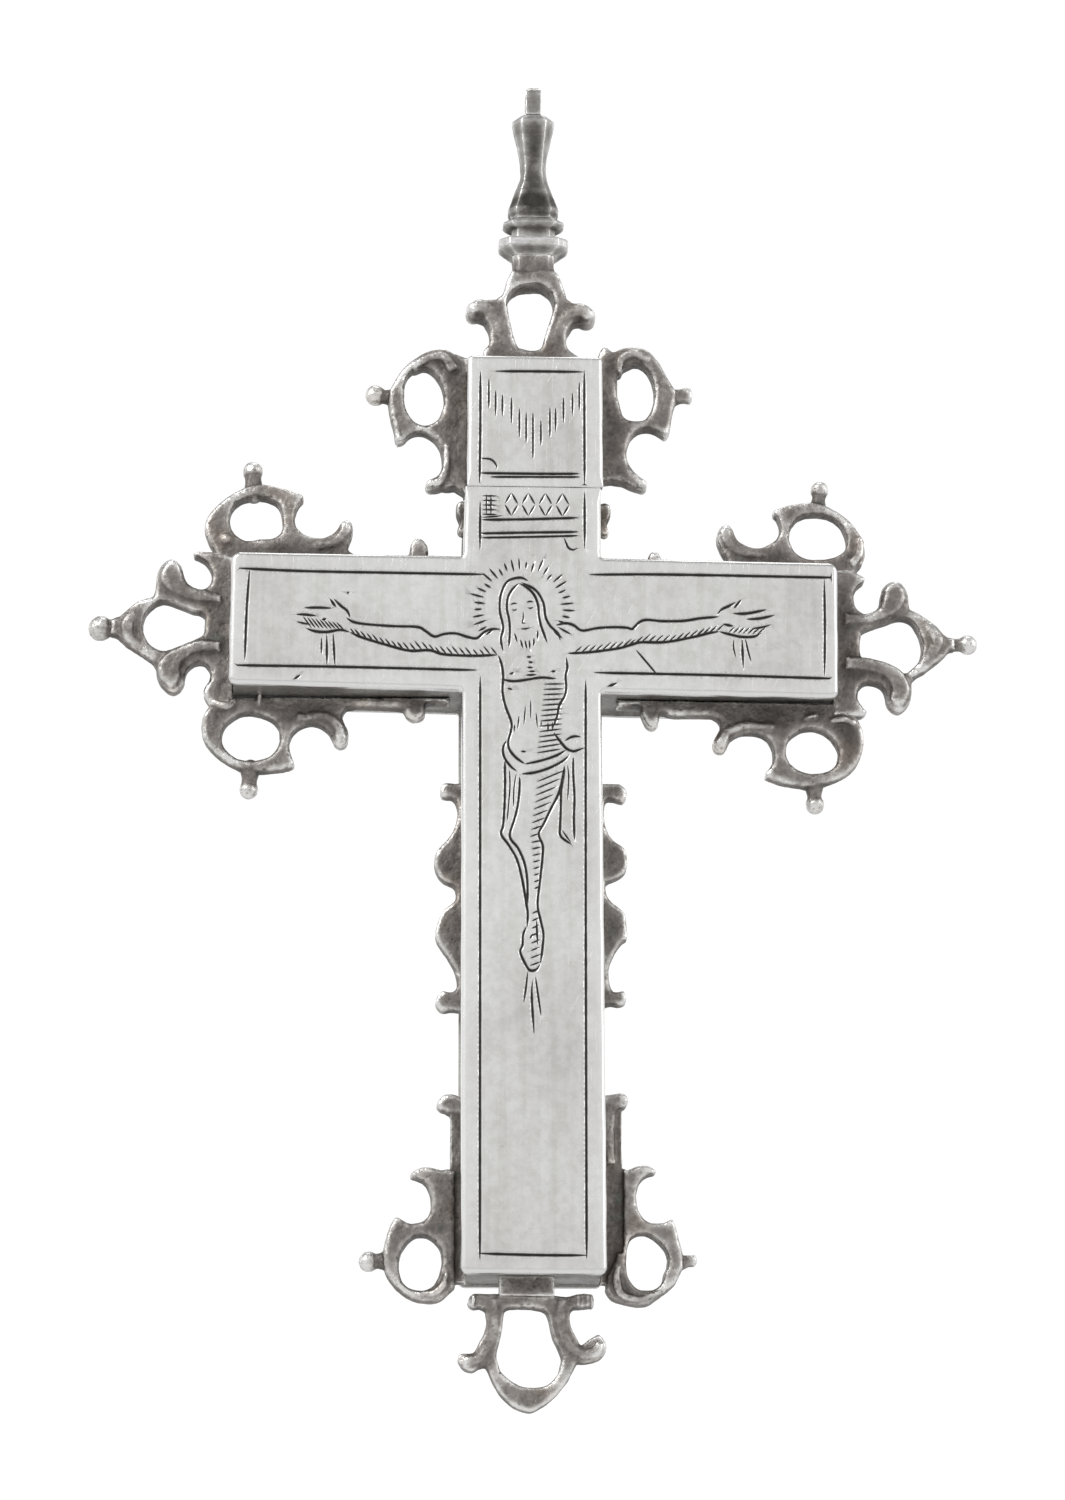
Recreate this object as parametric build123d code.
from build123d import *
import os

# Reliquary cross pendant, in millimetres.
# Origin: centre of the hole in the suspension eye. +Z up along the upright, the engraved front faces -Y.

# Box of the cross
PLATE_THICKNESS = 0.8        # front and back sheets
WALL_THICKNESS = 0.6         # side strips between the sheets
HALF_DEPTH = 4.5             # front sheet's face to the middle of the box
PLATE_OVERHANG = 0.3         # sheets stand past the side strips
HALF_WIDTH = 6.1             # upright, over the sheets
FOOT_HALF_WIDTH = 6.2        # the shaft is a little wider at the foot
CAP_HALF_WIDTH = 6.0
CAP_TOP = -26.1
SEAM = -38.3                 # joint line between cap and cross
ARM_TOP = -44.8
ARM_BOTTOM = -56.9
ARM_END = 26.6
SHAFT_BOTTOM = -108.0
CORNER_RADIUS = 0.5          # outer corners of the sheets

# Sleeve that holds the cap in the neck
SLEEVE_WALL = 0.5
SLEEVE_CLEARANCE = 0.08      # each side, inside the neck
SLEEVE_IN_NECK = 6.0
SLEEVE_IN_CAP = 7.0

# Castings
CASTING_THICKNESS = 2.6
BORDER_THICKNESS = 2.0
BALL_RADIUS = 0.9
STRIP_WIDTH = 1.3            # flat foot of each casting along the side strips
END_STRIP_PAST_ARM = 1.0     # the end scrolls' strips stand above and below the arm

# Finial and eye
EYE_HOLE_RADIUS = 0.45
EYE_TOP = 0.85
EYE_THICKNESS = 1.4
EYE_HALF_DEPTH = 1.1
BALUSTER_TOP = -1.95
BALUSTER_BOTTOM = -11.9
MOULDING_BOTTOM = -13.8
COLLAR_BOTTOM = -15.5

# Derived
PLATE_INSIDE = HALF_DEPTH - PLATE_THICKNESS
WALL_OUT = HALF_WIDTH - PLATE_OVERHANG
WALL_IN = WALL_OUT - WALL_THICKNESS
CAP_WALL_OUT = CAP_HALF_WIDTH - PLATE_OVERHANG
CAP_WALL_IN = WALL_IN - SLEEVE_CLEARANCE
CAP_PLATE_INSIDE = PLATE_INSIDE - SLEEVE_CLEARANCE
ARM_WALL_TOP = ARM_TOP - PLATE_OVERHANG
ARM_WALL_BOTTOM = ARM_BOTTOM + PLATE_OVERHANG
ARM_WALL_END = ARM_END - PLATE_OVERHANG
ARM_MIDDLE = (ARM_TOP + ARM_BOTTOM) / 2
FOOT_WALL = SHAFT_BOTTOM + PLATE_OVERHANG
CAP_WALL_TOP = CAP_TOP - PLATE_OVERHANG

os.makedirs("parts", exist_ok=True)


def save(node, solid):
    """Write one node, which is always a single closed solid."""
    solids = solid.solids()
    if len(solids) != 1:
        raise ValueError(f"{node} has {len(solids)} solids")
    solids[0].label = node
    export_step(solids[0], f"parts/{node}.step")


def slab(sketch, near, far):
    """Extrude an (x, z) sketch from y=near back to y=far."""
    return extrude(Plane.XZ.offset(-near) * sketch, amount=near - far)


def box(x0, x1, y0, y1, z0, z1):
    middle = Location(((x0 + x1) / 2, (y0 + y1) / 2, (z0 + z1) / 2))
    return middle * Box(abs(x1 - x0), abs(y1 - y0), abs(z1 - z0))


def rectangle(x0, x1, z0, z1):
    return Location(((x0 + x1) / 2, (z0 + z1) / 2)) * Rectangle(abs(x1 - x0), abs(z1 - z0))


def oval(x, z, half_x, half_z):
    return Location((x, z)) * Ellipse(half_x, half_z)


def disc(x, z, radius):
    return Location((x, z)) * Circle(radius)


def polygon(*points):
    return make_face(Polyline(*points, close=True))


def band(*stations):
    """Tapered strip on a smooth curve through (x, z, half width) stations, with round ends."""
    spine = [Vector(x, z) for x, z, _ in stations]
    left, right = [], []
    for i, (x, z, half) in enumerate(stations):
        along = (spine[min(i + 1, len(spine) - 1)] - spine[max(i - 1, 0)]).normalized()
        across = Vector(-along.Y, along.X) * half
        left.append(spine[i] + across)
        right.append(spine[i] - across)
    sides = [Spline(*left), Line(left[-1], right[-1]), Spline(*reversed(right)), Line(right[0], left[0])]
    strip = make_face(sides)
    for x, z, half in (stations[0], stations[-1]):
        strip += disc(x, z, half)
    return strip


def casting(sketch, thickness=CASTING_THICKNESS):
    return slab(sketch, -thickness / 2, thickness / 2)


def ball(x, z, radius=BALL_RADIUS):
    return Location((x, 0, z)) * Sphere(radius)


def clear_of(sketch, from_x=0, from_z=-200):
    """Keep only what lies past the strip that a casting is seated on."""
    return sketch & rectangle(from_x, 60, from_z, 20)


def to_left(solid):
    return mirror(solid, about=Plane.YZ)


# Sheets

def cross_outline():
    """Cross-shaped sheet from the seam to the foot."""
    points = [
        (HALF_WIDTH, SEAM), (HALF_WIDTH, ARM_TOP), (ARM_END, ARM_TOP), (ARM_END, ARM_BOTTOM),
        (HALF_WIDTH, ARM_BOTTOM), (FOOT_HALF_WIDTH, SHAFT_BOTTOM),
    ]
    sheet = polygon(*points, *[(-x, z) for x, z in reversed(points)])
    outer = [v for v in sheet.vertices() if v.Y < SEAM - 1 and (abs(v.X) > ARM_END - 1 or v.Y < SHAFT_BOTTOM + 1)]
    return fillet(outer, CORNER_RADIUS)


def cap_outline():
    sheet = rectangle(-CAP_HALF_WIDTH, CAP_HALF_WIDTH, SEAM, CAP_TOP)
    return fillet([v for v in sheet.vertices() if v.Y > SEAM + 1], CORNER_RADIUS)


save("front_plate", slab(cross_outline(), -HALF_DEPTH, -PLATE_INSIDE))
save("back_plate", slab(cross_outline(), PLATE_INSIDE, HALF_DEPTH))
save("cap_front_plate", slab(cap_outline(), -HALF_DEPTH, -CAP_PLATE_INSIDE))
save("cap_back_plate", slab(cap_outline(), CAP_PLATE_INSIDE, HALF_DEPTH))


# Side strips

def wall(sketch, inside=PLATE_INSIDE):
    return slab(sketch, -inside, inside)


neck_wall = wall(rectangle(WALL_IN, WALL_OUT, ARM_WALL_TOP, SEAM))
save("neck_right_wall", neck_wall)
save("neck_left_wall", to_left(neck_wall))

arm_outer = rectangle(WALL_IN, ARM_WALL_END, ARM_WALL_BOTTOM, ARM_WALL_TOP)
arm_inner = rectangle(WALL_IN, ARM_WALL_END - WALL_THICKNESS, ARM_WALL_BOTTOM + WALL_THICKNESS,
                      ARM_WALL_TOP - WALL_THICKNESS)
arm_wall = wall(arm_outer - arm_inner)
save("right_arm_wall", arm_wall)
save("left_arm_wall", to_left(arm_wall))

shaft_outer = rectangle(-WALL_OUT, WALL_OUT, FOOT_WALL, ARM_WALL_BOTTOM)
shaft_inner = rectangle(-WALL_IN, WALL_IN, FOOT_WALL + WALL_THICKNESS, ARM_WALL_BOTTOM)
save("shaft_wall", wall(shaft_outer - shaft_inner))

cap_wall = wall(rectangle(CAP_WALL_IN, CAP_WALL_OUT, SEAM, CAP_WALL_TOP), CAP_PLATE_INSIDE)
save("cap_right_wall", cap_wall)
save("cap_left_wall", to_left(cap_wall))
save("cap_top_wall", wall(rectangle(-CAP_WALL_IN, CAP_WALL_IN, CAP_WALL_TOP - WALL_THICKNESS, CAP_WALL_TOP),
                          CAP_PLATE_INSIDE))

sleeve_low = SEAM - SLEEVE_IN_NECK
sleeve_high = SEAM + SLEEVE_IN_CAP
sleeve_outer = box(-CAP_WALL_IN, CAP_WALL_IN, -CAP_PLATE_INSIDE, CAP_PLATE_INSIDE, sleeve_low, sleeve_high)
sleeve_inner = box(-CAP_WALL_IN + SLEEVE_WALL, CAP_WALL_IN - SLEEVE_WALL, -CAP_PLATE_INSIDE + SLEEVE_WALL,
                   CAP_PLATE_INSIDE - SLEEVE_WALL, sleeve_low, sleeve_high)
save("cap_sleeve", sleeve_outer - sleeve_inner)


# Castings of the arms

def arm_scroll(strip_width):
    """Ring, ball, pointed tip and hook, seated on z=0; x is the distance from the upright's axis."""
    shape = rectangle(WALL_OUT + 1.5, ARM_WALL_END, 0, strip_width)
    shape += band((26.6, 1.2, 0.95), (28.0, 3.0, 1.05), (27.2, 5.1, 1.0), (25.0, 6.5, 0.85),
                  (22.8, 6.5, 0.85), (20.7, 6.1, 0.4))
    shape += band((22.4, 6.3, 0.7), (21.5, 4.2, 0.65), (21.9, 1.8, 1.1))
    shape += band((26.4, 1.0, 1.0), (21.0, 1.3, 1.1), (18.8, 1.35, 0.95), (17.3, 2.1, 0.85), (16.5, 3.8, 0.6))
    shape += band((10.3, 0.6, 0.7), (10.3, 1.8, 0.8))
    shape -= oval(24.6, 4.0, 2.35, 1.85)
    shape -= rectangle(ARM_WALL_END, 30, -1, END_STRIP_PAST_ARM)
    solid = casting(clear_of(shape, from_z=0))
    solid += casting(band((24.9, 7.0, 0.6), (24.9, 8.4, 0.6)), 1.4)
    return solid + ball(24.9, 8.6)


UPPER_STRIP = 1.0
upper_scroll = Location((0, 0, ARM_WALL_TOP)) * arm_scroll(UPPER_STRIP)
lower_scroll = Location((0, 0, ARM_WALL_BOTTOM)) * mirror(arm_scroll(STRIP_WIDTH), about=Plane.XY)
save("upper_right_scroll", upper_scroll)
save("upper_left_scroll", to_left(upper_scroll))
save("lower_right_scroll", lower_scroll)
save("lower_left_scroll", to_left(lower_scroll))


def end_scroll(ball_radius):
    """Two C scrolls joined by an arch, with a ball on a neck, seated on the arm's end strip."""
    half_height = (ARM_WALL_TOP - ARM_WALL_BOTTOM) / 2 + END_STRIP_PAST_ARM
    shape = rectangle(ARM_WALL_END, 28.7, -half_height, half_height)
    for side in (-1, 1):
        shape += band((27.6, 3.0 * side, 0.6), (29.4, 3.3 * side, 0.75), (30.9, 3.8 * side, 0.8),
                      (32.0, 4.9 * side, 0.85), (32.1, 6.1 * side, 0.7))
        shape += band((28.0, 6.0 * side, 0.6), (29.7, 6.6 * side, 0.3))
    shape += band((32.3, 3.9, 0.6), (34.2, 2.3, 0.8), (35.1, 0, 1.0), (34.2, -2.3, 0.8), (32.3, -3.9, 0.6))
    shape += band((35.5, 0, 0.7), (37.6, 0, 0.6))
    return casting(clear_of(shape, from_x=ARM_WALL_END)) + ball(38.2, 0, ball_radius)


save("right_end_scroll", Location((0, 0, ARM_MIDDLE)) * end_scroll(BALL_RADIUS))
save("left_end_scroll", to_left(Location((0, 0, ARM_MIDDLE)) * end_scroll(1.1)))


# Castings of the cap

def cap_scroll():
    """Ring with a ball, a volute at its top, a tip and a hook, seated on the cap's side strip."""
    shape = rectangle(CAP_WALL_OUT, 7.3, -38.0, -25.4)
    shape += band((7.5, -26.4, 0.9), (8.6, -25.3, 0.85), (10.3, -25.5, 0.85), (11.6, -26.9, 0.75),
                  (12.1, -28.9, 0.75), (12.2, -31.0, 0.85), (11.9, -33.0, 0.4))
    shape += band((7.2, -30.5, 0.9), (9.0, -32.0, 1.0), (11.4, -31.6, 0.7))
    shape += band((7.2, -31.0, 0.9), (7.3, -34.5, 0.85), (7.8, -36.6, 0.9), (9.1, -37.3, 0.65))
    shape -= oval(9.75, -28.8, 1.75, 2.7)
    shape += band((12.5, -28.9, 0.55), (13.6, -28.7, 0.6))
    return casting(clear_of(shape, from_x=CAP_WALL_OUT)) + ball(13.9, -28.7)


save("cap_right_scroll", cap_scroll())
save("cap_left_scroll", to_left(cap_scroll()))

neck_fin = casting(polygon((WALL_OUT, SEAM - 0.2), (7.4, SEAM - 0.2), (6.7, -40.2), (6.9, -41.3), (WALL_OUT, -41.6)),
                   BORDER_THICKNESS)
save("neck_right_fin", neck_fin)
save("neck_left_fin", to_left(neck_fin))


# Castings of the shaft and foot

def shaft_border(reach):
    """Strip with a knob at each end and two ogee bumps back to back."""
    shape = rectangle(WALL_OUT, 6.8, -85.3, -64.4)
    for middle, away in ((-74.75, 1), (-74.75, -1)):
        bump = Spline((6.5, middle + 6.4 * away), (7.2, middle + 5.2 * away), (reach, middle + 3.0 * away),
                      (7.9, middle + 1.1 * away), (6.5, middle))
        shape += make_face([bump, Line((6.5, middle), (6.5, middle + 6.4 * away))])
    shape += band((6.5, -65.2, 0.75), (7.6, -65.2, 0.8))
    shape += band((6.5, -84.4, 0.85), (7.6, -84.3, 0.9))
    return casting(clear_of(shape, from_x=WALL_OUT), BORDER_THICKNESS)


save("right_shaft_border", shaft_border(8.3))
save("left_shaft_border", to_left(shaft_border(8.7)))


def foot_scroll():
    """Knob, strip, hook, tip and ring with a ball, seated on the shaft's side strip."""
    shape = rectangle(WALL_OUT, 7.1, -108.6, -92.2)
    shape += band((6.6, -93.0, 0.7), (7.5, -92.9, 0.95))
    shape += polygon((6.5, -97.9), (9.0, -98.0), (8.4, -100.5), (8.6, -102.3), (9.5, -103.3), (8.0, -105.0),
                     (6.5, -109.0))
    shape += band((7.8, -99.0, 0.95), (9.0, -98.6, 0.7), (10.1, -98.8, 0.45))
    shape += band((11.7, -103.1, 0.4), (12.0, -104.6, 0.6), (12.1, -106.8, 0.6), (11.3, -108.8, 0.7),
                  (9.5, -109.7, 0.75), (7.6, -109.1, 0.85))
    shape += band((11.6, -103.9, 0.55), (9.6, -103.4, 0.7), (8.2, -102.8, 0.8))
    shape -= oval(9.65, -106.3, 1.85, 2.45)
    shape += band((12.4, -106.4, 0.5), (13.5, -106.5, 0.55))
    return casting(clear_of(shape, from_x=WALL_OUT)) + ball(13.9, -106.5)


save("right_foot_scroll", foot_scroll())
save("left_foot_scroll", to_left(foot_scroll()))

LUG_BOTTOM = -109.3
save("foot_lug", box(-2.6, 2.4, -1.3, 1.3, LUG_BOTTOM, FOOT_WALL))


def foot_ornament():
    """Bar with two S scrolls below it, joined by a pointed bow."""
    shape = rectangle(-5.5, 5.3, -110.8, LUG_BOTTOM)
    shape += band((-3.2, -110.5, 0.8), (-3.4, -112.3, 0.75), (-4.1, -114.2, 0.85), (-5.5, -115.2, 1.0))
    shape += band((2.5, -110.5, 0.85), (2.7, -112.3, 0.8), (3.5, -114.1, 0.85), (5.0, -114.9, 0.85),
                  (6.0, -114.0, 0.75), (5.8, -113.0, 0.5))
    shape += band((-4.2, -114.6, 0.5), (-3.7, -116.2, 0.65), (-2.2, -117.8, 0.95), (-0.2, -118.4, 1.3),
                  (1.9, -117.8, 0.95), (3.3, -116.2, 0.65), (3.8, -114.7, 0.5))
    return casting(shape)


save("foot_ornament", foot_ornament())


# Arch and finial

def top_arch():
    """Two C scrolls back to back, with an arch over them that carries the finial."""
    shape = polygon((-1.95, COLLAR_BOTTOM), (1.95, COLLAR_BOTTOM), (2.1, -16.8), (2.8, -18.6), (3.0, -20.6),
                    (-3.0, -20.6), (-2.8, -18.6), (-2.1, -16.8))
    for side in (-1, 1):
        shape += band((5.4 * side, -21.4, 0.8), (4.5 * side, -20.5, 0.85), (3.4 * side, -21.1, 0.85),
                      (2.9 * side, -22.8, 0.9), (2.7 * side, -24.6, 1.1))
    hole_side = Spline((1.3, -24.8), (1.8, -22.0), (2.05, -20.4), (1.4, -18.8), (0, -18.4), (-1.4, -18.8),
                       (-2.05, -20.4), (-1.8, -22.0), (-1.3, -24.8))
    shape -= make_face([hole_side, Line((-1.3, -24.8), (1.3, -24.8))])
    shape += rectangle(-4.2, 4.2, CAP_WALL_TOP, -24.9)
    return casting(shape, 3.2)


save("top_arch", top_arch())


def octagon(half_x, half_y, corner):
    """Rectangle with its corners cut by `corner`."""
    side, end = half_x - corner, half_y - corner
    return polygon((side, half_y), (half_x, end), (half_x, -end), (side, -half_y), (-side, -half_y), (-half_x, -end),
                   (-half_x, end), (-side, half_y))


def stack(*levels):
    """Loft straight through octagons given as (z, half width, half depth, corner cut)."""
    return loft([Location((0, 0, z)) * octagon(*size) for z, *size in levels], ruled=True)


save("finial_collar", stack((COLLAR_BOTTOM, 2.1, 1.4, 0.6), (-14.8, 3.1, 1.75, 0.9), (-13.95, 3.1, 1.75, 0.9),
                            (MOULDING_BOTTOM, 2.85, 1.6, 0.8)))
save("finial_moulding", stack((MOULDING_BOTTOM, 1.95, 1.3, 0.5), (-13.05, 1.95, 1.3, 0.5), (-12.7, 2.75, 1.6, 0.8),
                              (-12.3, 2.75, 1.6, 0.8), (BALUSTER_BOTTOM, 2.05, 1.35, 0.6)))
save("finial_baluster", stack((BALUSTER_BOTTOM, 2.0, 1.3, 0.6), (-11.3, 2.25, 1.45, 0.7), (-10.7, 2.2, 1.4, 0.7),
                              (-8.8, 1.5, 1.1, 0.5), (-7.2, 1.12, 1.0, 0.4), (-5.8, 1.22, 1.05, 0.4),
                              (-2.6, 1.95, 1.35, 0.8), (BALUSTER_TOP, 1.3, 1.15, 0.4)))

eye_side = Pos(0, (BALUSTER_TOP + 0.1) / 2) * Rectangle(2 * EYE_HALF_DEPTH, 0.1 - BALUSTER_TOP)
eye_side += Pos(0, 0.1) * Ellipse(EYE_HALF_DEPTH, EYE_TOP - 0.1)
eye_side -= Circle(EYE_HOLE_RADIUS)
save("suspension_eye", extrude(Plane.YZ * eye_side, amount=EYE_THICKNESS / 2, both=True))
